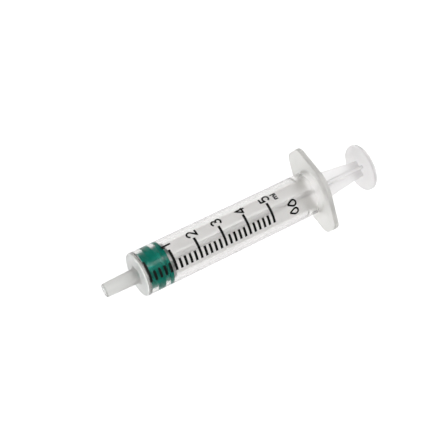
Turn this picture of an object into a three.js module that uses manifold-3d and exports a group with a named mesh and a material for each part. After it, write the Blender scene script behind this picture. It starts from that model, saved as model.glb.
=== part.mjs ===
// Oral syringe of 5 ml in three pieces: a clear barrel, a rubber stopper and a plunger rod.
// Millimetres, +Z up. The barrel's axis lies along X with the thumb press at +X, and the finger flange's
// wings lie along Y. The origin is under the syringe's middle, on the surface that the flange rests on.
// Until the last section, x is measured from the scale's zero line and the axis is at y = z = 0.
import * as THREE from "three";
import { mergeVertices } from "three/addons/utils/BufferGeometryUtils.js";
import Module from "manifold-3d";

// Barrel tube. The scale's length follows from the capacity and the bore.
const CAPACITY_ML = 5;
const BORE_DIAMETER = 12.06;
const BARREL_WALL = 1.0;
const FRONT_WALL = 1.5;
const FRONT_EDGE_ROUND = 0.5;

// Tip, its boss and its lumen.
const TIP_LENGTH = 11.0;
const TIP_END_DIAMETER = 4.3;
const TIP_ROOT_DIAMETER = 4.8;
const TIP_EDGE_ROUND = 0.25;
const LUMEN_DIAMETER = 2.2;
const BOSS_WIDTH = 0.6;
const BOSS_HEIGHT = 0.6;

// Retaining bead inside the barrel's mouth, and the mouth's chamfer.
const OVERTRAVEL = 5.0;
const BEAD_WIDTH = 1.6;
const BEAD_HEIGHT = 0.15;
const BEAD_TO_FLANGE = 4.4;
const MOUTH_CHAMFER = 0.5;

// Finger flange.
const FLANGE_THICKNESS = 1.7;
const FLANGE_SPAN = 28.4;
const FLANGE_MARGIN = 2.77;
const WING_END_WIDTH = 10.0;
const WING_CORNER_RADIUS = 3.1;
const FLANGE_EDGE_ROUND = 0.3;
const FLANGE_FILLET = 0.9;

// Rubber stopper: a cone that widens to a front rib, a groove and a rear rib.
const STOPPER_LENGTH = 7.7;
const FRONT_RIB_WIDTH = 2.4;
const REAR_RIB_WIDTH = 1.4;
const RIB_ROUND = 0.35;
const GROOVE_WIDTH = 1.5;
const GROOVE_DEPTH = 0.4;
const FRONT_RELIEF = 0.4;
const NOSE_HEIGHT = 0.5;
const SOCKET_LIP = 2.2;

// Plunger rod.
const SNAP_HEAD_DIAMETER = 6.0;
const SNAP_HEAD_LENGTH = 2.4;
const NECK_DIAMETER = 3.8;
const DISC_THICKNESS = 1.0;
const RIB_THICKNESS = 1.1;
const RIB_SPAN_AT_PRESS = 5.2;
const RIB_TAPER_LEAD = 1.5;
const FINGER_ROOM = 17.5;
const PRESS_DIAMETER = 15.7;
const PRESS_THICKNESS = 1.3;
const PRESS_EDGE_ROUND = 0.45;

// Clearances between the pieces.
const SEAL_CLEARANCE = 0.05;
const SEAT_CLEARANCE = 0.1;
const SNAP_CLEARANCE = 0.15;
const DISC_CLEARANCE = 0.45;
const RIB_CLEARANCE = 1.18;

// Fineness of round surfaces.
const TURN_SEGMENTS = 48;
const ARC_SEGMENTS = 8;
const EDGE_SEGMENTS = 3;

const boreRadius = BORE_DIAMETER / 2;
const tubeRadius = boreRadius + BARREL_WALL;
const flangeMiddleRadius = tubeRadius + FLANGE_MARGIN;
const scaleLength = (CAPACITY_ML * 1000) / (Math.PI * boreRadius ** 2);

// Stations along the axis.
const boreBottom = -SEAT_CLEARANCE;
const frontFace = boreBottom - FRONT_WALL;
const tipEnd = frontFace - TIP_LENGTH;
const stopperRear = STOPPER_LENGTH;
const beadFront = scaleLength + STOPPER_LENGTH + OVERTRAVEL;
const beadRear = beadFront + BEAD_WIDTH;
const flangeFront = beadRear + BEAD_TO_FLANGE;
const flangeRear = flangeFront + FLANGE_THICKNESS;
const pressFront = flangeRear + FINGER_ROOM;
const pressRear = pressFront + PRESS_THICKNESS;

const wasm = await Module();
wasm.setup();

// A closed geometry as a solid for joining and cutting.
function solidOf(geometry) {
  const bare = geometry.clone();
  bare.deleteAttribute("normal");
  bare.deleteAttribute("uv");
  const merged = mergeVertices(bare, 1e-5);
  return new wasm.Manifold(
    new wasm.Mesh({
      numProp: 3,
      vertProperties: merged.attributes.position.array,
      triVerts: new Uint32Array(merged.index.array),
    }),
  );
}

// A solid as a named mesh.
function meshOf(name, solid, material) {
  const { vertProperties, triVerts } = solid.getMesh();
  const geometry = new THREE.BufferGeometry();
  geometry.setAttribute("position", new THREE.BufferAttribute(vertProperties, 3));
  geometry.setIndex(new THREE.BufferAttribute(triVerts, 1));
  geometry.computeVertexNormals();
  const mesh = new THREE.Mesh(geometry, material);
  mesh.name = name;
  return mesh;
}

// A solid turned about the X axis. Each corner is [x, radius] or [x, radius, rounding], from the front
// to the rear, and the first and last lie on the axis. A rounding is the length that it takes off each
// side of its corner.
function turned(corners) {
  const points = corners.map(([x, radius]) => new THREE.Vector2(radius, x));
  const outline = new THREE.Path().moveTo(points[0].x, points[0].y);
  points.slice(1).forEach((corner, i) => {
    const rounding = corners[i + 1][2];
    if (!rounding) {
      outline.lineTo(corner.x, corner.y);
      return;
    }
    const towards = (other) => other.clone().sub(corner).setLength(rounding).add(corner);
    const start = towards(points[i]);
    const end = towards(points[i + 2]);
    outline.lineTo(start.x, start.y);
    outline.quadraticCurveTo(corner.x, corner.y, end.x, end.y);
  });
  const lathe = new THREE.LatheGeometry(outline.getPoints(EDGE_SEGMENTS), TURN_SEGMENTS);
  return solidOf(lathe.rotateZ(-Math.PI / 2));
}

// The flange seen along the axis, as (y, z): a round middle, and straight sides that run tangent to it
// and to the rounded corners of the two wing ends.
function flangeOutline() {
  const cornerY = FLANGE_SPAN / 2 - WING_CORNER_RADIUS;
  const cornerZ = WING_END_WIDTH / 2 - WING_CORNER_RADIUS;
  const toCorner = Math.hypot(cornerY, cornerZ);
  const sideTurn = Math.acos((flangeMiddleRadius - WING_CORNER_RADIUS) / toCorner);
  const tangent = Math.atan2(cornerZ, cornerY) + sideTurn;
  const outline = new THREE.Shape();
  outline.absarc(cornerY, cornerZ, WING_CORNER_RADIUS, 0, tangent);
  outline.absarc(0, 0, flangeMiddleRadius, tangent, Math.PI - tangent);
  outline.absarc(-cornerY, cornerZ, WING_CORNER_RADIUS, Math.PI - tangent, Math.PI);
  outline.absarc(-cornerY, -cornerZ, WING_CORNER_RADIUS, Math.PI, Math.PI + tangent);
  outline.absarc(0, 0, flangeMiddleRadius, Math.PI + tangent, 2 * Math.PI - tangent);
  outline.absarc(cornerY, -cornerZ, WING_CORNER_RADIUS, 2 * Math.PI - tangent, 2 * Math.PI);
  return outline;
}

function makeFlange() {
  const plate = new THREE.ExtrudeGeometry(flangeOutline(), {
    depth: FLANGE_THICKNESS - 2 * FLANGE_EDGE_ROUND,
    bevelThickness: FLANGE_EDGE_ROUND,
    bevelSize: FLANGE_EDGE_ROUND,
    bevelOffset: -FLANGE_EDGE_ROUND,
    bevelSegments: EDGE_SEGMENTS,
    curveSegments: ARC_SEGMENTS,
  });
  const alongX = new THREE.Matrix4().makeBasis(
    new THREE.Vector3(0, 1, 0),
    new THREE.Vector3(0, 0, 1),
    new THREE.Vector3(1, 0, 0),
  );
  plate.applyMatrix4(alongX);
  plate.translate(flangeFront + FLANGE_EDGE_ROUND, 0, 0);
  return solidOf(plate);
}

function makeBarrel() {
  const tipRootRadius = TIP_ROOT_DIAMETER / 2;
  const bossRadius = tipRootRadius + BOSS_WIDTH;
  const outside = turned([
    [tipEnd, 0],
    [tipEnd, TIP_END_DIAMETER / 2, TIP_EDGE_ROUND],
    [frontFace - BOSS_HEIGHT, tipRootRadius],
    [frontFace, bossRadius],
    [frontFace, tubeRadius, FRONT_EDGE_ROUND],
    [flangeFront - FLANGE_FILLET, tubeRadius],
    [flangeFront + FLANGE_THICKNESS / 2, tubeRadius + FLANGE_FILLET],
    [flangeFront + FLANGE_THICKNESS / 2, 0],
  ]);
  const beadRadius = boreRadius - BEAD_HEIGHT;
  const seatBottom = boreBottom - NOSE_HEIGHT;
  const lumenRadius = LUMEN_DIAMETER / 2;
  const inside = turned([
    [tipEnd - FRONT_WALL, 0],
    [tipEnd - FRONT_WALL, lumenRadius],
    [seatBottom, lumenRadius],
    [boreBottom, boreRadius],
    [beadFront, boreRadius],
    [beadFront + BEAD_WIDTH / 2, beadRadius, BEAD_WIDTH / 4],
    [beadRear, boreRadius],
    [flangeRear - MOUTH_CHAMFER, boreRadius],
    [flangeRear, boreRadius + MOUTH_CHAMFER],
    [flangeRear + MOUTH_CHAMFER, boreRadius + 2 * MOUTH_CHAMFER],
    [flangeRear + MOUTH_CHAMFER, 0],
  ]);
  const clearPolypropylene = new THREE.MeshStandardMaterial({
    color: 0xeef2f1,
    roughness: 0.12,
    metalness: 0,
    transparent: true,
    opacity: 0.3,
  });
  return meshOf("barrel", outside.add(makeFlange()).subtract(inside), clearPolypropylene);
}

// The socket in the stopper's rear holds the rod's snap head and neck.
const socketRadius = SNAP_HEAD_DIAMETER / 2 + SNAP_CLEARANCE;
const socketRear = stopperRear - SOCKET_LIP;
const socketFront = socketRear - SNAP_HEAD_LENGTH - 2 * SNAP_CLEARANCE;

function makeStopper() {
  const sealRadius = boreRadius - SEAL_CLEARANCE;
  const frontRadius = sealRadius - FRONT_RELIEF;
  const grooveRadius = sealRadius - GROOVE_DEPTH;
  const rearRibFront = stopperRear - REAR_RIB_WIDTH;
  const frontRibRear = rearRibFront - GROOVE_WIDTH;
  const frontRibFront = frontRibRear - FRONT_RIB_WIDTH;
  const outside = turned([
    [-NOSE_HEIGHT, 0],
    [-NOSE_HEIGHT, LUMEN_DIAMETER / 2],
    [0, frontRadius, RIB_ROUND],
    [frontRibFront, sealRadius, RIB_ROUND],
    [frontRibRear, sealRadius, RIB_ROUND],
    [frontRibRear + GROOVE_DEPTH / 2, grooveRadius],
    [rearRibFront - GROOVE_DEPTH / 2, grooveRadius],
    [rearRibFront, sealRadius, RIB_ROUND],
    [stopperRear, sealRadius, RIB_ROUND],
    [stopperRear, 0],
  ]);
  const neckHoleRadius = NECK_DIAMETER / 2 + SNAP_CLEARANCE;
  const socket = turned([
    [socketFront, 0],
    [socketFront, socketRadius / 2],
    [(socketFront + socketRear) / 2, socketRadius],
    [socketRear, socketRadius],
    [socketRear, neckHoleRadius],
    [stopperRear + SOCKET_LIP, neckHoleRadius],
    [stopperRear + SOCKET_LIP, 0],
  ]);
  const tealRubber = new THREE.MeshStandardMaterial({
    color: 0x0f6a5f,
    roughness: 0.55,
    metalness: 0,
  });
  return meshOf("stopper", outside.subtract(socket), tealRubber);
}

// One wall of the rod's cross, as a flat plate in the XY plane: parallel inside the barrel, then
// tapered to the thumb press.
function makeRodWall(front) {
  const spanInBarrel = BORE_DIAMETER - 2 * RIB_CLEARANCE;
  const taperStart = flangeRear - RIB_TAPER_LEAD;
  const rear = pressFront + PRESS_THICKNESS / 2;
  const outline = new THREE.Shape();
  outline.moveTo(front, -spanInBarrel / 2);
  outline.lineTo(taperStart, -spanInBarrel / 2);
  outline.lineTo(pressFront, -RIB_SPAN_AT_PRESS / 2);
  outline.lineTo(rear, -RIB_SPAN_AT_PRESS / 2);
  outline.lineTo(rear, RIB_SPAN_AT_PRESS / 2);
  outline.lineTo(pressFront, RIB_SPAN_AT_PRESS / 2);
  outline.lineTo(taperStart, spanInBarrel / 2);
  outline.lineTo(front, spanInBarrel / 2);
  const plate = new THREE.ExtrudeGeometry(outline, { depth: RIB_THICKNESS, bevelEnabled: false });
  return plate.translate(0, 0, -RIB_THICKNESS / 2);
}

function makePlungerRod() {
  const headRadius = SNAP_HEAD_DIAMETER / 2;
  const headFront = socketFront + SNAP_CLEARANCE;
  const headRear = socketRear - SNAP_CLEARANCE;
  const discRadius = boreRadius - DISC_CLEARANCE;
  const discFront = stopperRear + SNAP_CLEARANCE;
  const discRear = discFront + DISC_THICKNESS;
  const head = turned([
    [headFront, 0],
    [headFront, headRadius / 2],
    [(headFront + headRear) / 2, headRadius],
    [headRear, headRadius],
    [headRear, NECK_DIAMETER / 2],
    [discFront, NECK_DIAMETER / 2],
    [discFront, discRadius],
    [discRear, discRadius],
    [discRear, 0],
  ]);
  const press = turned([
    [pressFront, 0],
    [pressFront, PRESS_DIAMETER / 2, PRESS_EDGE_ROUND],
    [pressRear, PRESS_DIAMETER / 2, PRESS_EDGE_ROUND],
    [pressRear, 0],
  ]);
  const flatWall = makeRodWall((discFront + discRear) / 2);
  const uprightWall = flatWall.clone().rotateX(Math.PI / 2);
  const rod = head.add(solidOf(flatWall)).add(solidOf(uprightWall)).add(press);
  const milkyPolypropylene = new THREE.MeshStandardMaterial({
    color: 0xe6e8e7,
    roughness: 0.35,
    metalness: 0,
    transparent: true,
    opacity: 0.75,
  });
  return meshOf("plunger_rod", rod, milkyPolypropylene);
}

// The whole syringe, moved so that the origin is under its middle.
const lowest = Math.max(flangeMiddleRadius, PRESS_DIAMETER / 2);
const syringe = new THREE.Group();
syringe.add(makeBarrel(), makeStopper(), makePlungerRod());
syringe.position.set(-(tipEnd + pressRear) / 2, 0, lowest);

export default syringe;
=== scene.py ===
# The looks of a 5 ml oral syringe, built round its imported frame. The syringe's sizes are in millimetres,
# and place() turns them into the frame's metres. Along the syringe, x is measured from the scale's zero
# line towards the thumb press. Angles round the barrel are measured from straight up, and the side
# towards +Y is negative.
import math

import bmesh
import bpy
from mathutils import Matrix, Vector


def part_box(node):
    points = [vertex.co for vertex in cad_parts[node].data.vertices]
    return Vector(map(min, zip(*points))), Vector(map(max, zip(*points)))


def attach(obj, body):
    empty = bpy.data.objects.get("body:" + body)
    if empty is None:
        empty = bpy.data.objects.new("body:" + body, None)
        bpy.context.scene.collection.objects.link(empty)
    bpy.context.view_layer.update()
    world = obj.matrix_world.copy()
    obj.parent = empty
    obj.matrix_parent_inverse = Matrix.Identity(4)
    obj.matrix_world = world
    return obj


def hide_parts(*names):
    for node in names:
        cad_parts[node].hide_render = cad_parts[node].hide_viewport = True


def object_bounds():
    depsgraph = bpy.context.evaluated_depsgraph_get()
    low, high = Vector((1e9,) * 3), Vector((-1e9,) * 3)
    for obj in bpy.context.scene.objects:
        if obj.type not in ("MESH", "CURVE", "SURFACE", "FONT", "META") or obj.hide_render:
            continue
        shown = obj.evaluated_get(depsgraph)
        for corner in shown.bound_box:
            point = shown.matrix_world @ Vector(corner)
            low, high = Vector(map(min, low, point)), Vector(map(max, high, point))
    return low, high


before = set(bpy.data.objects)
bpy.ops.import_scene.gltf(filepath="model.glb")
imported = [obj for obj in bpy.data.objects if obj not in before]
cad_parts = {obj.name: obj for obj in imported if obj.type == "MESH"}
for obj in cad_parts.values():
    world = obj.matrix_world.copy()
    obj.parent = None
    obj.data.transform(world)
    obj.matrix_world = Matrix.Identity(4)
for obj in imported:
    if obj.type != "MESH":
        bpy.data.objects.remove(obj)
cad_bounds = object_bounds()

MM = 0.001
barrel_low, barrel_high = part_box("barrel")
rod_low, rod_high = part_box("plunger_rod")

# Sizes in millimetres that the solids share. The scale's length is that of its volume in the bore, and the
# stopper can be drawn back past the scale by the overtravel, up to the retaining bead.
TIP_LENGTH = 11.0
FRONT_WALL = 1.5
SEAT_CLEARANCE = 0.1
BORE_RADIUS = 6.03
TUBE_RADIUS = 7.03
CAPACITY_ML = 5
SCALE_LENGTH = CAPACITY_ML * 1000 / (math.pi * BORE_RADIUS**2)
STOPPER_LENGTH = 7.7
OVERTRAVEL = 5.0
BEAD_FRONT = SCALE_LENGTH + STOPPER_LENGTH + OVERTRAVEL
BEAD_WIDTH = 1.6
FLANGE_THICKNESS = 1.7
FLANGE_MIDDLE_RADIUS = 9.8
WING_REACH = 14.2
WING_END_HALF_WIDTH = 5.0
WING_CORNER_RADIUS = 3.1
PRESS_RADIUS = 7.85
PRESS_THICKNESS = 1.3

axis_height = (barrel_low.z + barrel_high.z) / 2
front_face = -SEAT_CLEARANCE - FRONT_WALL
tip_end = front_face - TIP_LENGTH
zero_line = barrel_low.x - tip_end * MM
flange_rear = (barrel_high.x - zero_line) / MM
flange_front = flange_rear - FLANGE_THICKNESS
press_rear = (rod_high.x - zero_line) / MM
press_front = press_rear - PRESS_THICKNESS

# How the meshes are cut: points round a ring, steps round a rounded corner, the flat kept beside it, the
# shares of a side that a rounding and its flat may take, and how near the axis a turned solid starts.
RING_POINTS = 192
ARC_STEPS = 4
HOLD = 0.12
ROUNDING_SHARE = 0.45
HOLD_SHARE = 0.48
AXIS_GAP = 0.02
SHARP_ANGLE = math.radians(38)
WELD_METRES = 2e-7


def place(x, y, z):
    """A point given in millimetres from the zero line and the axis, in the frame's metres."""
    return Vector((zero_line + x * MM, y * MM, axis_height + z * MM))


def metres_along(x):
    """A place along the syringe, in the frame's metres."""
    return place(x, 0, 0).x


# Camera: the photograph's viewing angle, from above the tip's side.
CAMERA_BACK = Vector((-0.3567, -0.0273, 0.9338))
CAMERA_UP = Vector((0.4024, 0.8976, 0.1800))
CAMERA_DISTANCE = 0.340
CAMERA_AIM = Vector((-0.0045, 0.0026, 0.0098))
LENS_MM = 88.2
SENSOR_WIDTH_MM = 36
NEAREST_METRES = 0.01


def make_camera():
    """A camera that looks at CAMERA_AIM from CAMERA_DISTANCE metres away."""
    data = bpy.data.cameras.new("camera")
    data.lens = LENS_MM
    data.sensor_width = SENSOR_WIDTH_MM
    data.clip_start = NEAREST_METRES
    camera = bpy.data.objects.new("camera", data)
    bpy.context.scene.collection.objects.link(camera)
    back = CAMERA_BACK.normalized()
    right = CAMERA_UP.cross(back).normalized()
    up = back.cross(right)
    turn = Matrix((right, up, back)).transposed().to_4x4()
    camera.matrix_world = Matrix.Translation(CAMERA_AIM + back * CAMERA_DISTANCE) @ turn
    bpy.context.scene.camera = camera


# ---------------------------------------------------------------- mesh helpers


def rounded(corners):
    """Points along a chain of corners (x, radius, rounding), each corner replaced by a small arc that
    takes its rounding off both sides, with a point just outside each arc to keep the flats flat."""
    points = []
    for i, (x, radius, rounding) in enumerate(corners):
        corner = Vector((x, radius))
        if i in (0, len(corners) - 1):
            points.append(corner)
            continue
        towards = [Vector(corners[j][:2]) - corner for j in (i - 1, i + 1)]
        sides = [side.normalized() * min(rounding, ROUNDING_SHARE * side.length) for side in towards]
        holds = [side * min(1 + HOLD / side.length, HOLD_SHARE * whole.length / side.length)
                 for side, whole in zip(sides, towards)]
        start = corner + sides[0]
        end = corner + sides[1]
        points.append(corner + holds[0])
        for step in range(ARC_STEPS + 1):
            t = step / ARC_STEPS
            points.append(start * (1 - t) ** 2 + corner * 2 * t * (1 - t) + end * t**2)
        points.append(corner + holds[1])
    return [tuple(p) for p in points]


def ring(x, radius_at):
    """A closed ring of points round the axis; radius_at gives the radius for an angle from +Y."""
    angles = [2 * math.pi * k / RING_POINTS for k in range(RING_POINTS)]
    return [place(x, radius_at(a) * math.cos(a), radius_at(a) * math.sin(a)) for a in angles]


def round_ring(x, radius):
    """A closed circle of points round the axis."""
    return ring(x, lambda angle: radius)


def skin(name, rings, closed=False):
    """A mesh object over a chain of rings. A closed chain joins its last ring to its first; an open
    one gets a point in the middle of each end."""
    bm = bmesh.new()
    loops = [[bm.verts.new(p) for p in points] for points in rings]
    pairs = list(zip(loops, loops[1:] + loops[:1])) if closed else list(zip(loops, loops[1:]))
    for one, two in pairs:
        for k in range(len(one)):
            n = (k + 1) % len(one)
            bm.faces.new((one[k], one[n], two[n], two[k]))
    if not closed:
        for loop, turn in ((loops[0], 1), (loops[-1], -1)):
            middle = bm.verts.new(sum((v.co for v in loop), Vector()) / len(loop))
            for k in range(len(loop)):
                n = (k + 1) % len(loop)
                bm.faces.new((middle, loop[n], loop[k])[::turn])
    return to_object(name, bm)


def shade_smooth(bm):
    """Shades the faces smooth, except across edges sharper than SHARP_ANGLE."""
    for face in bm.faces:
        face.smooth = True
    for edge in bm.edges:
        edge.smooth = edge.calc_face_angle(0) < SHARP_ANGLE


def to_object(name, bm):
    """Turns a bmesh into a linked object with its faces out and shaded smooth."""
    bmesh.ops.recalc_face_normals(bm, faces=bm.faces)
    shade_smooth(bm)
    mesh = bpy.data.meshes.new(name)
    bm.to_mesh(mesh)
    bm.free()
    obj = bpy.data.objects.new(name, mesh)
    bpy.context.scene.collection.objects.link(obj)
    return obj


def turned(name, corners):
    """A solid turned about the axis, from a chain of corners that starts and ends near the axis."""
    return skin(name, [round_ring(x, max(radius, AXIS_GAP)) for x, radius in rounded(corners)])


def join(obj, other):
    """Joins the other object's solid to obj with an exact boolean, and removes the other object."""
    modifier = obj.modifiers.new("boolean", "BOOLEAN")
    modifier.operation = "UNION"
    modifier.solver = "EXACT"
    modifier.object = other
    graph = bpy.context.evaluated_depsgraph_get()
    mesh = bpy.data.meshes.new_from_object(obj.evaluated_get(graph))
    obj.modifiers.clear()
    obj.data = mesh
    bpy.data.objects.remove(other)


def weld(obj):
    """Merges the points that joining leaves on top of each other, and shades the mesh again."""
    bm = bmesh.new()
    bm.from_mesh(obj.data)
    bmesh.ops.remove_doubles(bm, verts=bm.verts, dist=WELD_METRES)
    shade_smooth(bm)
    bm.to_mesh(obj.data)
    bm.free()


# ---------------------------------------------------------------- materials

# Each pair of tints or roughnesses is the low and the high end of a cloudy noise over the surface.
TUBE_IOR = 1.49
TUBE_SPECULAR_TINT = (0.12, 0.12, 0.12, 1)
TUBE_BODY_COLOUR = (0.38, 0.35, 0.32, 1)
TUBE_BODY_DENSITY = 160
TUBE_TINTS = (0.98, 0.98, 0.98), (1.0, 1.0, 1.0)
TUBE_ROUGHNESS = 0.12, 0.18
FROST_TINTS = (0.95, 0.96, 0.94), (1.0, 1.0, 0.985)
FROST_ROUGHNESS = 0.25
FROST_CLARITY = 0.85
FACE_CLARITY = 0.3
TIP_TINT = (0.80, 0.805, 0.795)

# The rod's index is lower than polypropylene's, so that the milky ribs bend less light out of the barrel.
ROD_IOR = 1.30
ROD_CLARITY = 0.92
ROD_SCATTER_METRES = 0.006
ROD_GLOSS = 0.25
ROD_ROUGHNESS = 0.42, 0.55
# The rod's two tints are lit and shaded copies of one milky plastic: the lighter is painted light on the
# rod inside the barrel, the darker is painted shade on the rod outside it.
ROD_PAINTED_LIGHT_TINTS = (0.88, 0.87, 0.86), (0.92, 0.91, 0.90)
ROD_PAINTED_SHADE_TINTS = (0.70, 0.69, 0.69), (0.74, 0.73, 0.73)

RUBBER_TINTS = (0.0, 0.14, 0.10), (0.0, 0.20, 0.15)
RUBBER_ROUGHNESS = 0.32, 0.48
INK_TINTS = (0.0, 0.0, 0.0), (0.004, 0.004, 0.004)
INK_ROUGHNESS = 0.4, 0.6
DULL_GLOSS = 0.05

# Where the looks change along the syringe, in millimetres: the tip's tint either side of the front face,
# the face's own haze, the frost of the front wall, the frost before the flange, and the rod's painted lit
# and shaded tints.
TIP_EDGE = 0.3
FACE_FADE = 0.45
WALL_FROST_FULL = 0.4
WALL_FROST_END = 0.2
FLANGE_FADE_BEFORE = 4.5
FLANGE_FADE_AFTER = 0.5
ROD_FADE = 2.0

# Most of a noise lies between these two values.
NOISE_LOW = 0.3
NOISE_HIGH = 0.7


def new_material(name, **sockets):
    """A material with one Principled shader, the sockets set, and the shader and its tree."""
    material = bpy.data.materials.new(name)
    material.use_nodes = True
    tree = material.node_tree
    shader = tree.nodes["Principled BSDF"]
    for socket, value in sockets.items():
        shader.inputs[socket.replace("_", " ")].default_value = value
    return material, tree, shader


def noise(tree, scale, detail=3.0, stretch=(1, 1, 1)):
    """A noise over the object's own coordinates; scale is in cycles per metre."""
    coordinates = tree.nodes.new("ShaderNodeTexCoord")
    mapping = tree.nodes.new("ShaderNodeMapping")
    mapping.inputs["Scale"].default_value = stretch
    texture = tree.nodes.new("ShaderNodeTexNoise")
    texture.inputs["Scale"].default_value = scale
    texture.inputs["Detail"].default_value = detail
    tree.links.new(coordinates.outputs["Object"], mapping.inputs["Vector"])
    tree.links.new(mapping.outputs["Vector"], texture.inputs["Vector"])
    return texture.outputs["Fac"]


def ranged(tree, value, low, high):
    """A noise spread over low to high."""
    node = tree.nodes.new("ShaderNodeMapRange")
    node.inputs["From Min"].default_value = NOISE_LOW
    node.inputs["From Max"].default_value = NOISE_HIGH
    node.inputs["To Min"].default_value = low
    node.inputs["To Max"].default_value = high
    tree.links.new(value, node.inputs["Value"])
    return node.outputs["Result"]


def between(tree, value, low, high):
    """A noise spread over two colours."""
    ramp = tree.nodes.new("ShaderNodeValToRGB")
    ramp.color_ramp.elements[0].position = NOISE_LOW
    ramp.color_ramp.elements[0].color = (*low, 1)
    ramp.color_ramp.elements[1].position = NOISE_HIGH
    ramp.color_ramp.elements[1].color = (*high, 1)
    tree.links.new(value, ramp.inputs["Fac"])
    return ramp.outputs["Color"]


def bumped(tree, shader, height, strength, distance):
    """Gives the shader a fine relief from a noise; the distance is in metres."""
    bump = tree.nodes.new("ShaderNodeBump")
    bump.inputs["Strength"].default_value = strength
    bump.inputs["Distance"].default_value = distance
    tree.links.new(height, bump.inputs["Height"])
    tree.links.new(bump.outputs["Normal"], shader.inputs["Normal"])


def math_node(tree, operation, *values):
    """A math node over numbers and outputs."""
    node = tree.nodes.new("ShaderNodeMath")
    node.operation = operation
    for socket, value in zip(node.inputs, values):
        if isinstance(value, bpy.types.NodeSocket):
            tree.links.new(value, socket)
        else:
            socket.default_value = value
    return node.outputs["Value"]


def step_up(tree, value, start, end):
    """0 below start and 1 above end, eased between; start may be the larger."""
    node = tree.nodes.new("ShaderNodeMapRange")
    node.interpolation_type = "SMOOTHSTEP"
    node.inputs["From Min"].default_value = start
    node.inputs["From Max"].default_value = end
    tree.links.new(value, node.inputs["Value"])
    return node.outputs["Result"]


def mixed(tree, share, one, two):
    """The first colour or output where share is 0, and the second where it is 1."""
    node = tree.nodes.new("ShaderNodeMix")
    node.data_type = "RGBA"
    tree.links.new(share, node.inputs["Factor"])
    for name, value in (("A", one), ("B", two)):
        socket = next(i for i in node.inputs if i.name == name and i.type == "RGBA")
        if isinstance(value, bpy.types.NodeSocket):
            tree.links.new(value, socket)
        else:
            socket.default_value = (*value, 1)
    return next(o for o in node.outputs if o.type == "RGBA")


def along_syringe(tree):
    """How far along X the surface lies, in the frame's metres."""
    coordinates = tree.nodes.new("ShaderNodeTexCoord")
    split = tree.nodes.new("ShaderNodeSeparateXYZ")
    tree.links.new(coordinates.outputs["Object"], split.inputs["Vector"])
    return split.outputs["X"]


def fade(tree, along, start, end):
    """0 up to start and 1 from end, which are places along the syringe in millimetres."""
    return step_up(tree, along, metres_along(start), metres_along(end))


def clear_polypropylene():
    """Polished and clear along the tube; frosted, as the mould leaves it, on the tip and the flange."""
    material, tree, shader = new_material(
        "clear_polypropylene", Transmission_Weight=1.0, IOR=TUBE_IOR, Specular_Tint=TUBE_SPECULAR_TINT)
    volume = tree.nodes.new("ShaderNodeVolumeAbsorption")
    volume.inputs["Color"].default_value = TUBE_BODY_COLOUR
    volume.inputs["Density"].default_value = TUBE_BODY_DENSITY
    tree.links.new(volume.outputs["Volume"], tree.nodes["Material Output"].inputs["Volume"])
    along = along_syringe(tree)
    tip = fade(tree, along, front_face + TIP_EDGE, front_face - TIP_EDGE)
    front = fade(tree, along, -WALL_FROST_END, front_face + WALL_FROST_FULL)
    flange = fade(tree, along, flange_front - FLANGE_FADE_BEFORE, flange_front + FLANGE_FADE_AFTER)
    frost = math_node(tree, "MAXIMUM", front, flange)
    cloud = noise(tree, scale=260, stretch=(0.35, 1, 1))
    tube = between(tree, cloud, *TUBE_TINTS)
    frosted = mixed(tree, tip, between(tree, cloud, *FROST_TINTS), TIP_TINT)
    tree.links.new(mixed(tree, frost, tube, frosted), shader.inputs["Base Color"])
    polished = ranged(tree, noise(tree, scale=900), *TUBE_ROUGHNESS)
    rough = math_node(tree, "MULTIPLY_ADD", frost, FROST_ROUGHNESS, polished)
    tree.links.new(rough, shader.inputs["Roughness"])
    near_face = fade(tree, along, front_face + FACE_FADE, front_face)
    face = math_node(tree, "SUBTRACT", near_face, tip)
    haze = math_node(tree, "MULTIPLY", frost, 1 - FROST_CLARITY)
    milk = math_node(tree, "MULTIPLY_ADD", face, FROST_CLARITY - FACE_CLARITY, haze)
    tree.links.new(math_node(tree, "SUBTRACT", 1.0, milk), shader.inputs["Transmission Weight"])
    bumped(tree, shader, noise(tree, scale=420, stretch=(0.2, 1, 1)), strength=0.08, distance=0.0002)
    return material


def milky_polypropylene():
    """Translucent all along the rod, with painted light and shade in its tint: a little darker outside the
    barrel than in it at rest.
    """
    material, tree, shader = new_material(
        "milky_polypropylene", Transmission_Weight=ROD_CLARITY, IOR=ROD_IOR, Specular_IOR_Level=ROD_GLOSS,
        Subsurface_Weight=1.0, Subsurface_Scale=ROD_SCATTER_METRES, Subsurface_Radius=(1, 1, 1))
    cloud = noise(tree, scale=300, stretch=(0.4, 1, 1))
    # Painted light and shade: the rod inside the barrel gets the lighter tint, and from just before the
    # flange outwards the darker one.
    shaft = between(tree, cloud, *ROD_PAINTED_LIGHT_TINTS)
    head = between(tree, cloud, *ROD_PAINTED_SHADE_TINTS)
    outer = fade(tree, along_syringe(tree), flange_front - ROD_FADE, flange_rear)
    tree.links.new(mixed(tree, outer, shaft, head), shader.inputs["Base Color"])
    rough = ranged(tree, noise(tree, scale=1400), *ROD_ROUGHNESS)
    tree.links.new(rough, shader.inputs["Roughness"])
    bumped(tree, shader, noise(tree, scale=2200), strength=0.1, distance=0.0001)
    return material


def dull_material(name, tints, cloud, roughness, grain):
    """An opaque material with little gloss, from a noise for its colour and one for its roughness."""
    material, tree, shader = new_material(name, Specular_IOR_Level=DULL_GLOSS)
    tree.links.new(between(tree, noise(tree, **cloud), *tints), shader.inputs["Base Color"])
    tree.links.new(ranged(tree, noise(tree, **grain), *roughness), shader.inputs["Roughness"])
    return material, tree, shader


def teal_rubber():
    """Dull moulded rubber with a fine grain."""
    material, tree, shader = dull_material(
        "teal_rubber", RUBBER_TINTS, {"scale": 700, "detail": 6}, RUBBER_ROUGHNESS, {"scale": 1800})
    bumped(tree, shader, noise(tree, scale=5000), strength=0.15, distance=0.0001)
    return material


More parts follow.
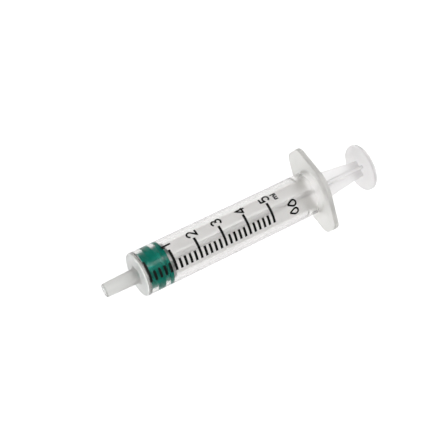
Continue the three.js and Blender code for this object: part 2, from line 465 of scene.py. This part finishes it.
def black_ink():
    """Flat black printing ink."""
    return dull_material("black_ink", INK_TINTS, {"scale": 3000}, INK_ROUGHNESS, {"scale": 2500})[0]


def finish_piece(obj, material, body, slot, *nodes):
    """Gives a piece its material and its body, and hides the CAD nodes that it stands for. The slot is not
    used.
    """
    obj.data.materials.clear()
    obj.data.materials.append(material)
    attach(obj, body)
    if nodes:
        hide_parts(*nodes)


# ---------------------------------------------------------------- barrel

TIP_END_RADIUS = 2.15
TIP_ROOT_RADIUS = 2.4
BOSS_RADIUS = 3.0
BOSS_HEIGHT = 0.6
LUMEN_RADIUS = 1.1
SEAT_DEPTH = 0.5
FLANGE_FILLET = 0.9
FLANGE_EDGE_ROUND = 0.35
MOUTH_CHAMFER = 0.5
BEAD_HEIGHT = 0.10
BEAD_ROUND = 0.38

# The barrel's skin closes on the tip's end ring, between these two distances from the lumen.
SEAM_OUTER = 0.4
SEAM_INNER = 0.3

# Where rings lie across the flange's faces, as shares of the way out.
FACE_SHARES = 0.06, 0.5, 1


def wing_radius(angle):
    """How far the flange's outline is from the axis at an angle from +Y. The outline is a round
    middle, straight sides and rounded wing corners, tangent to each other."""
    y, z = abs(math.cos(angle)), abs(math.sin(angle))
    corner = Vector((WING_REACH - WING_CORNER_RADIUS, WING_END_HALF_WIDTH - WING_CORNER_RADIUS))
    turn = math.acos((FLANGE_MIDDLE_RADIUS - WING_CORNER_RADIUS) / corner.length)
    tangent = math.atan2(corner.y, corner.x) + turn
    normal = Vector((math.cos(tangent), math.sin(tangent)))
    side_end = corner + normal * WING_CORNER_RADIUS
    side_start = normal * FLANGE_MIDDLE_RADIUS
    direction = math.atan2(z, y)
    if direction >= math.atan2(side_start.y, side_start.x):
        return FLANGE_MIDDLE_RADIUS
    if direction >= math.atan2(side_end.y, side_end.x):
        return FLANGE_MIDDLE_RADIUS / (y * normal.x + z * normal.y)
    if direction >= math.atan2(corner.y, WING_REACH):
        along = y * corner.x + z * corner.y
        return along + math.sqrt(along**2 - corner.length_squared + WING_CORNER_RADIUS**2)
    return WING_REACH / y


def flange_rings():
    """Rings over the flange: out along its front face, round its rim and back in along its rear."""
    inner_front = TUBE_RADIUS + FLANGE_FILLET
    inner_rear = BORE_RADIUS + MOUTH_CHAMFER + HOLD

    def face_ring(x, inner, share, inset):
        return ring(x, lambda a: inner * (1 - share) + (wing_radius(a) - inset) * share)

    def edge(x_face, x_step, order):
        quarter = [math.pi / 2 * k / ARC_STEPS for k in range(ARC_STEPS + 1)][::order]
        radius = FLANGE_EDGE_ROUND
        return [ring(x_face + x_step * radius * (1 - math.sin(q)),
                     lambda a, q=q: wing_radius(a) - radius * (1 - math.cos(q))) for q in quarter]

    hold_inset = FLANGE_EDGE_ROUND + HOLD
    rings = [face_ring(flange_front, inner_front, share, hold_inset) for share in FACE_SHARES]
    rings += edge(flange_front, 1, -1)
    rings += edge(flange_rear, -1, 1)
    rings += [face_ring(flange_rear, inner_rear, share, hold_inset) for share in FACE_SHARES[::-1]]
    return rings


def make_barrel():
    """One closed skin: the outside from the tip's end ring, the flange, and the inside back to the ring."""
    outside = rounded([
        (tip_end, LUMEN_RADIUS + SEAM_OUTER, 0),
        (tip_end, TIP_END_RADIUS, 0.3),
        (front_face - BOSS_HEIGHT, TIP_ROOT_RADIUS, 0.15),
        (front_face, BOSS_RADIUS, 0.25),
        (front_face, TUBE_RADIUS, 0.5),
        (flange_front, TUBE_RADIUS, FLANGE_FILLET),
        (flange_front, TUBE_RADIUS + FLANGE_FILLET + HOLD, 0),
    ])
    bead_middle = BEAD_FRONT + BEAD_WIDTH / 2
    inside = rounded([
        (flange_rear, BORE_RADIUS + MOUTH_CHAMFER + HOLD, 0),
        (flange_rear, BORE_RADIUS + MOUTH_CHAMFER, 0.1),
        (flange_rear - MOUTH_CHAMFER, BORE_RADIUS, 0.2),
        (BEAD_FRONT + BEAD_WIDTH, BORE_RADIUS, BEAD_ROUND),
        (bead_middle, BORE_RADIUS - BEAD_HEIGHT, BEAD_ROUND),
        (BEAD_FRONT, BORE_RADIUS, BEAD_ROUND),
        (-SEAT_CLEARANCE, BORE_RADIUS, 0.25),
        (-SEAT_CLEARANCE - SEAT_DEPTH, LUMEN_RADIUS, 0.2),
        (tip_end, LUMEN_RADIUS, 0.12),
        (tip_end, LUMEN_RADIUS + SEAM_INNER, 0),
    ])
    rings = [round_ring(x, r) for x, r in outside]
    rings += flange_rings()
    rings += [round_ring(x, r) for x, r in inside]
    barrel = skin("barrel_shell", rings, closed=True)
    finish_piece(barrel, clear_polypropylene(), "barrel", "clear_barrel", "barrel")


# ---------------------------------------------------------------- stopper

# The rubber bears on the bore with a slight overlap, so that no film of air lies between them.
SEAL_SQUEEZE = 0.03
SEAL_RADIUS = BORE_RADIUS + SEAL_SQUEEZE
FRONT_RIB_WIDTH = 2.4
REAR_RIB_WIDTH = 1.4
RIB_ROUND = 0.15
GROOVE_WIDTH = 1.5
GROOVE_DEPTH = 0.4
FRONT_RELIEF = 0.43
NOSE_HEIGHT = 0.5
SOCKET_LIP = 2.2
SNAP_HEAD_RADIUS = 3.0
SNAP_HEAD_LENGTH = 2.4
NECK_RADIUS = 1.9
SNAP_CLEARANCE = 0.15

socket_rear = STOPPER_LENGTH - SOCKET_LIP
socket_front = socket_rear - SNAP_HEAD_LENGTH - 2 * SNAP_CLEARANCE


def make_stopper():
    """The rubber, turned from its nose over the ribs to the rear and into the undercut socket."""
    front_radius = SEAL_RADIUS - FRONT_RELIEF
    groove_radius = SEAL_RADIUS - GROOVE_DEPTH
    rear_rib = STOPPER_LENGTH - REAR_RIB_WIDTH
    front_rib_end = rear_rib - GROOVE_WIDTH
    front_rib = front_rib_end - FRONT_RIB_WIDTH
    socket_radius = SNAP_HEAD_RADIUS + SNAP_CLEARANCE
    neck_hole = NECK_RADIUS + SNAP_CLEARANCE
    stopper = turned("rubber_stopper", [
        (-NOSE_HEIGHT, 0, 0),
        (-NOSE_HEIGHT, LUMEN_RADIUS, 0.4),
        (0, front_radius, RIB_ROUND),
        (front_rib, SEAL_RADIUS, RIB_ROUND),
        (front_rib_end, SEAL_RADIUS, RIB_ROUND),
        (front_rib_end + GROOVE_DEPTH / 2, groove_radius, RIB_ROUND),
        (rear_rib - GROOVE_DEPTH / 2, groove_radius, RIB_ROUND),
        (rear_rib, SEAL_RADIUS, RIB_ROUND),
        (STOPPER_LENGTH, SEAL_RADIUS, RIB_ROUND),
        (STOPPER_LENGTH, neck_hole, 0.3),
        (socket_rear, neck_hole, 0.2),
        (socket_rear, socket_radius, 0.15),
        ((socket_front + socket_rear) / 2, socket_radius, 0.2),
        (socket_front, socket_radius / 2, 0.2),
        (socket_front, 0, 0),
    ])
    finish_piece(stopper, teal_rubber(), "stopper", "stopper_rubber", "stopper")


# ---------------------------------------------------------------- plunger rod

RIB_HALF_THICKNESS = 0.55
RIB_REACH = 4.85
RIB_REACH_AT_PRESS = 2.6
RIB_TAPER_LEAD = 1.5
TAPER_EASE = 1.0
TAPER_EASE_REACH = 0.985
RIB_FILLET = 0.5
RIB_TIP_ROUND = 0.3
DISC_CLEARANCE = 0.45
DISC_RADIUS = BORE_RADIUS - DISC_CLEARANCE
DISC_THICKNESS = 1.0
MOULD_ROUND = 0.15
PRESS_ROUND = 0.45
GRIP_RINGS = 4
GRIP_DEPTH = 0.25
GRIP_WIDTH = 0.8
GRIP_SIDE = 0.25
GRIP_ROUND = 0.12
GRIP_MARGIN = 0.9
FILLET_STEPS = 3
TIP_STEPS = 4


def quarter_arc(centre, radius, start, steps):
    """Points of a quarter turn, anticlockwise for a positive radius and clockwise for a negative."""
    sweep = math.copysign(math.pi / 2, radius)
    angles = [start + sweep * k / steps for k in range(steps + 1)]
    return [(centre[0] + abs(radius) * math.cos(a), centre[1] + abs(radius) * math.sin(a)) for a in angles]


def cross_section(reach):
    """The cross of four ribs as (y, z) points, with fillets in its inner corners and round tips."""
    half = RIB_HALF_THICKNESS
    inner = half + RIB_FILLET
    tip_y, tip_z = reach - RIB_TIP_ROUND, half - RIB_TIP_ROUND
    arm = quarter_arc((inner, -inner), -RIB_FILLET, math.pi, FILLET_STEPS)
    arm += quarter_arc((tip_y, -tip_z), RIB_TIP_ROUND, -math.pi / 2, TIP_STEPS)
    arm += quarter_arc((tip_y, tip_z), RIB_TIP_ROUND, 0, TIP_STEPS)
    points = []
    for quarter in range(4):
        c, s = round(math.cos(quarter * math.pi / 2)), round(math.sin(quarter * math.pi / 2))
        points += [(c * y - s * z, s * y + c * z) for y, z in arm]
    return points


def make_rod():
    """The snap head and disc, joined with the ribbed shaft and the thumb press."""
    head_front = socket_front + SNAP_CLEARANCE
    head_rear = socket_rear - SNAP_CLEARANCE
    disc_front = STOPPER_LENGTH + SNAP_CLEARANCE
    disc_rear = disc_front + DISC_THICKNESS
    rod = turned("plunger_rod_fine", [
        (head_front, 0, 0),
        (head_front, SNAP_HEAD_RADIUS / 2, 0.2),
        ((head_front + head_rear) / 2, SNAP_HEAD_RADIUS, 0.2),
        (head_rear, SNAP_HEAD_RADIUS, MOULD_ROUND),
        (head_rear, NECK_RADIUS, MOULD_ROUND),
        (disc_front, NECK_RADIUS, MOULD_ROUND),
        (disc_front, DISC_RADIUS, MOULD_ROUND),
        (disc_rear, DISC_RADIUS, MOULD_ROUND),
        (disc_rear, 0, 0),
    ])
    taper_start = flange_rear - RIB_TAPER_LEAD
    middle_of_press = press_front + PRESS_THICKNESS / 2
    stations = [
        ((disc_front + disc_rear) / 2, RIB_REACH),
        (taper_start - TAPER_EASE, RIB_REACH),
        (taper_start + TAPER_EASE, RIB_REACH * TAPER_EASE_REACH),
        (press_front, RIB_REACH_AT_PRESS),
        (middle_of_press, RIB_REACH_AT_PRESS),
    ]
    cross = skin("cross", [[place(x, y, z) for y, z in cross_section(r)] for x, r in stations])
    press = turned("press", press_corners())
    join(rod, cross)
    join(rod, press)
    weld(rod)
    finish_piece(rod, milky_polypropylene(), "plunger_rod", "milky_rod", "plunger_rod")


def press_corners():
    """The thumb press: a round disc with a rounded rim and ring-shaped grip grooves in its rear."""
    corners = [
        (press_front, 0, 0),
        (press_front, PRESS_RADIUS, PRESS_ROUND),
        (press_rear, PRESS_RADIUS, PRESS_ROUND),
    ]
    pitch = (PRESS_RADIUS - GRIP_WIDTH) / (GRIP_RINGS + 1)
    for groove in range(GRIP_RINGS):
        outer = PRESS_RADIUS - GRIP_MARGIN - groove * pitch
        inner = outer - GRIP_WIDTH
        corners += [
            (press_rear, outer, GRIP_ROUND),
            (press_rear - GRIP_DEPTH, outer - GRIP_SIDE, GRIP_ROUND),
            (press_rear - GRIP_DEPTH, inner + GRIP_SIDE, GRIP_ROUND),
            (press_rear, inner, GRIP_ROUND),
        ]
    return corners + [(press_rear, 0, 0)]


# ---------------------------------------------------------------- printed scale

# Sizes are in millimetres. The ends of the lines and the places of the figures are in degrees round the
# barrel, and a stroke's corner is drawn out no further than the mitre limit allows.
INK_GAP = 0.012
INK_THICKNESS = 0.02
INK_STEP = 0.35
MITRE_LIMIT = 0.6
LINE_WIDTH = 0.82
LINE_FROM = 34.0
LONG_LINE_TO = -21.5
SHORT_LINE_TO = 8.0
MINOR_PER_ML = 5
FIGURE_HEIGHT = 3.1
FIGURE_WIDTH = 2.0
FIGURE_STROKE = 0.58
FIGURE_ANGLE = -34.0
UNIT_HEIGHT = 1.9
UNIT_STROKE = 0.42
UNIT_ANGLE = -31.0
UNIT_AFTER_SCALE = 3.4
MARK_HEIGHT = 3.0
MARK_WIDTH = 1.9
MARK_ANGLES = (7.0, 29.0)
MARK_AFTER_SCALE = 7.4

# The unit's letters: how far each is shifted round the barrel, and how wide it is.
UNIT_LETTERS = {"m": (0.5, 1.5), "l": (-1.0, 0.8)}


def bend(centre, radii, start, end, steps=8):
    """Points along an arc of an ellipse, from one angle in degrees to another."""
    turns = [math.radians(start + (end - start) * k / steps) for k in range(steps + 1)]
    return [(centre[0] + radii[0] * math.cos(t), centre[1] + radii[1] * math.sin(t)) for t in turns]


# Each figure is a list of pen strokes in a box 1 wide and 1 high, with (0, 0) at its lower left.
FIGURES = {
    "1": [[(0.2, 0.76), (0.6, 1), (0.6, 0)]],
    "2": [bend((0.48, 0.7), (0.46, 0.3), 170, -35) + [(0, 0), (1, 0)]],
    "3": [bend((0.45, 0.76), (0.42, 0.24), 150, -90) + bend((0.45, 0.26), (0.5, 0.26), 90, -150)],
    "4": [[(0.72, 0), (0.72, 1), (0, 0.3), (1, 0.3)]],
    "5": [[(0.9, 1), (0.16, 1), (0.1, 0.56)] + bend((0.48, 0.32), (0.48, 0.33), 125, -145)],
    "m": [[(0, 0), (0, 0.62)], bend((0.25, 0.4), (0.25, 0.22), 180, 0, 4) + [(0.5, 0)],
          bend((0.75, 0.4), (0.25, 0.22), 180, 0, 4) + [(1, 0)]],
    "l": [[(0.2, 1), (0.2, 0)]],
    "drop": [[(0.5, 1)] + bend((0.5, 0.32), (0.5, 0.32), 155, 385, 14) + [(0.5, 1)]],
}


def on_barrel(x, around, lift):
    """A point over the barrel at a distance around it from straight up."""
    radius = TUBE_RADIUS + INK_GAP + lift
    turn = around / TUBE_RADIUS
    return place(x, -radius * math.sin(turn), radius * math.cos(turn))


def arc_length(degrees):
    """How far round the barrel an angle reaches."""
    return math.radians(degrees) * TUBE_RADIUS


def with_steps(path):
    """The path with points added, so that no piece is too long to follow the barrel."""
    points = [Vector(path[0])]
    for end in path[1:]:
        start = points[-1]
        side = Vector(end) - start
        count = max(1, math.ceil(side.length / INK_STEP))
        points += [start + side * k / count for k in range(1, count + 1)]
    return points


def print_stroke(bm, path, width):
    """A pen stroke of ink, as a thin closed ribbon on the barrel. The path's points are (x, around)."""
    points = with_steps(path)
    rows = []
    for k, point in enumerate(points):
        before = (point - points[k - 1]).normalized() if k else None
        after = (points[k + 1] - point).normalized() if k + 1 < len(points) else None
        along = ((before or after) + (after or before)).normalized()
        reach = width / 2 / max(MITRE_LIMIT, along.dot(before or after))
        across = Vector((-along.y, along.x)) * reach
        corners = [(point + across, 0), (point - across, 0),
                   (point - across, INK_THICKNESS), (point + across, INK_THICKNESS)]
        rows.append([bm.verts.new(on_barrel(at.x, at.y, lift)) for at, lift in corners])
    for one, two in zip(rows, rows[1:]):
        for k in range(4):
            n = (k + 1) % 4
            bm.faces.new((one[k], one[n], two[n], two[k]))
    bm.faces.new(rows[0][::-1])
    bm.faces.new(rows[-1])


def print_figure(bm, figure, x, around, height, width, stroke):
    """A figure centred at a place on the barrel, its top towards the tip."""
    for strokes in FIGURES[figure]:
        path = [(x - (v - 0.5) * height, around + (0.5 - u) * width) for u, v in strokes]
        print_stroke(bm, path, stroke)


def make_print():
    """The scale's lines and figures, the unit, and a mark of two drops."""
    ink = black_ink()
    ml = SCALE_LENGTH / CAPACITY_ML
    lines = bmesh.new()
    for mark in range(CAPACITY_ML * MINOR_PER_ML + 1):
        x = mark * ml / MINOR_PER_ML
        reach = SHORT_LINE_TO if mark % MINOR_PER_ML else LONG_LINE_TO
        print_stroke(lines, [(x, arc_length(LINE_FROM)), (x, arc_length(reach))], LINE_WIDTH)
    finish_piece(to_object("scale_lines", lines), ink, "barrel", "scale_ink")
    for volume in range(1, CAPACITY_ML + 1):
        bm = bmesh.new()
        around = arc_length(FIGURE_ANGLE)
        print_figure(bm, str(volume), volume * ml, around, FIGURE_HEIGHT, FIGURE_WIDTH, FIGURE_STROKE)
        finish_piece(to_object(f"figure_{volume}", bm), ink, "barrel", "scale_ink")
    unit = bmesh.new()
    unit_x = SCALE_LENGTH + UNIT_AFTER_SCALE
    for letter, (shift, width) in UNIT_LETTERS.items():
        around = arc_length(UNIT_ANGLE) + shift
        print_figure(unit, letter, unit_x, around, UNIT_HEIGHT, width, UNIT_STROKE)
    finish_piece(to_object("unit_ml", unit), ink, "barrel", "scale_ink")
    mark = bmesh.new()
    for angle in MARK_ANGLES:
        x = SCALE_LENGTH + MARK_AFTER_SCALE
        print_figure(mark, "drop", x, arc_length(angle), MARK_HEIGHT, MARK_WIDTH, FIGURE_STROKE)
    finish_piece(to_object("drop_mark", mark), ink, "barrel", "scale_ink")


# ---------------------------------------------------------------- stage

FLOOR_HALF_WIDTH_METRES = 2.5
FLOOR_GREY = (0.2, 0.2, 0.2, 1)
FLOOR_GLOW = 0.88
WHITE = (1, 1, 1, 1)
CEILING_TOWARDS = Vector((-0.1, -0.3, 0.95)).normalized()
CEILING_FADE = 0.4, 0.95
CEILING_LIGHT = 2.2
HORIZON_LIGHT = 0.6


def make_floor():
    """A white floor that glows, so that it stays white under and round the syringe."""
    bm = bmesh.new()
    bmesh.ops.create_grid(bm, x_segments=1, y_segments=1, size=FLOOR_HALF_WIDTH_METRES)
    bmesh.ops.translate(bm, verts=bm.verts, vec=(0, 0, cad_bounds[0][2]))
    floor = to_object("floor", bm)
    paint = new_material(
        "floor_paint", Base_Color=FLOOR_GREY, Roughness=0.9, Specular_IOR_Level=0.1,
        Emission_Color=WHITE, Emission_Strength=FLOOR_GLOW)[0]
    floor.data.materials.append(paint)


def make_light(name, towards, distance, size, power):
    """A round soft light that faces the syringe from a direction."""
    data = bpy.data.lights.new(name, "AREA")
    data.shape = "DISK"
    data.size = size
    data.energy = power
    light = bpy.data.objects.new(name, data)
    bpy.context.scene.collection.objects.link(light)
    direction = Vector(towards).normalized()
    light.location = CAMERA_AIM + direction * distance
    light.rotation_euler = direction.to_track_quat("Z", "Y").to_euler()


def make_surroundings():
    """A pale room, brighter overhead than at the horizon, and two soft lights."""
    world = bpy.data.worlds.new("studio")
    bpy.context.scene.world = world
    world.use_nodes = True
    tree = world.node_tree
    coordinates = tree.nodes.new("ShaderNodeTexCoord")
    facing = tree.nodes.new("ShaderNodeVectorMath")
    facing.operation = "DOT_PRODUCT"
    facing.inputs[1].default_value = CEILING_TOWARDS
    tree.links.new(coordinates.outputs["Generated"], facing.inputs[0])
    ceiling = step_up(tree, facing.outputs["Value"], *CEILING_FADE)
    light = math_node(tree, "MULTIPLY_ADD", ceiling, CEILING_LIGHT - HORIZON_LIGHT, HORIZON_LIGHT)
    background = tree.nodes["Background"]
    background.inputs["Color"].default_value = WHITE
    tree.links.new(light, background.inputs["Strength"])
    make_light("overhead_softbox", towards=(0.36, 0.25, 0.88), distance=0.6, size=0.2, power=2.4)
    make_light("tip_side_softbox", towards=(-0.9, -0.25, 0.3), distance=0.6, size=0.4, power=1.0)
    bpy.context.scene.view_settings.view_transform = "Standard"


make_camera()
make_barrel()
make_stopper()
make_rod()
make_print()
make_floor()
make_surroundings()
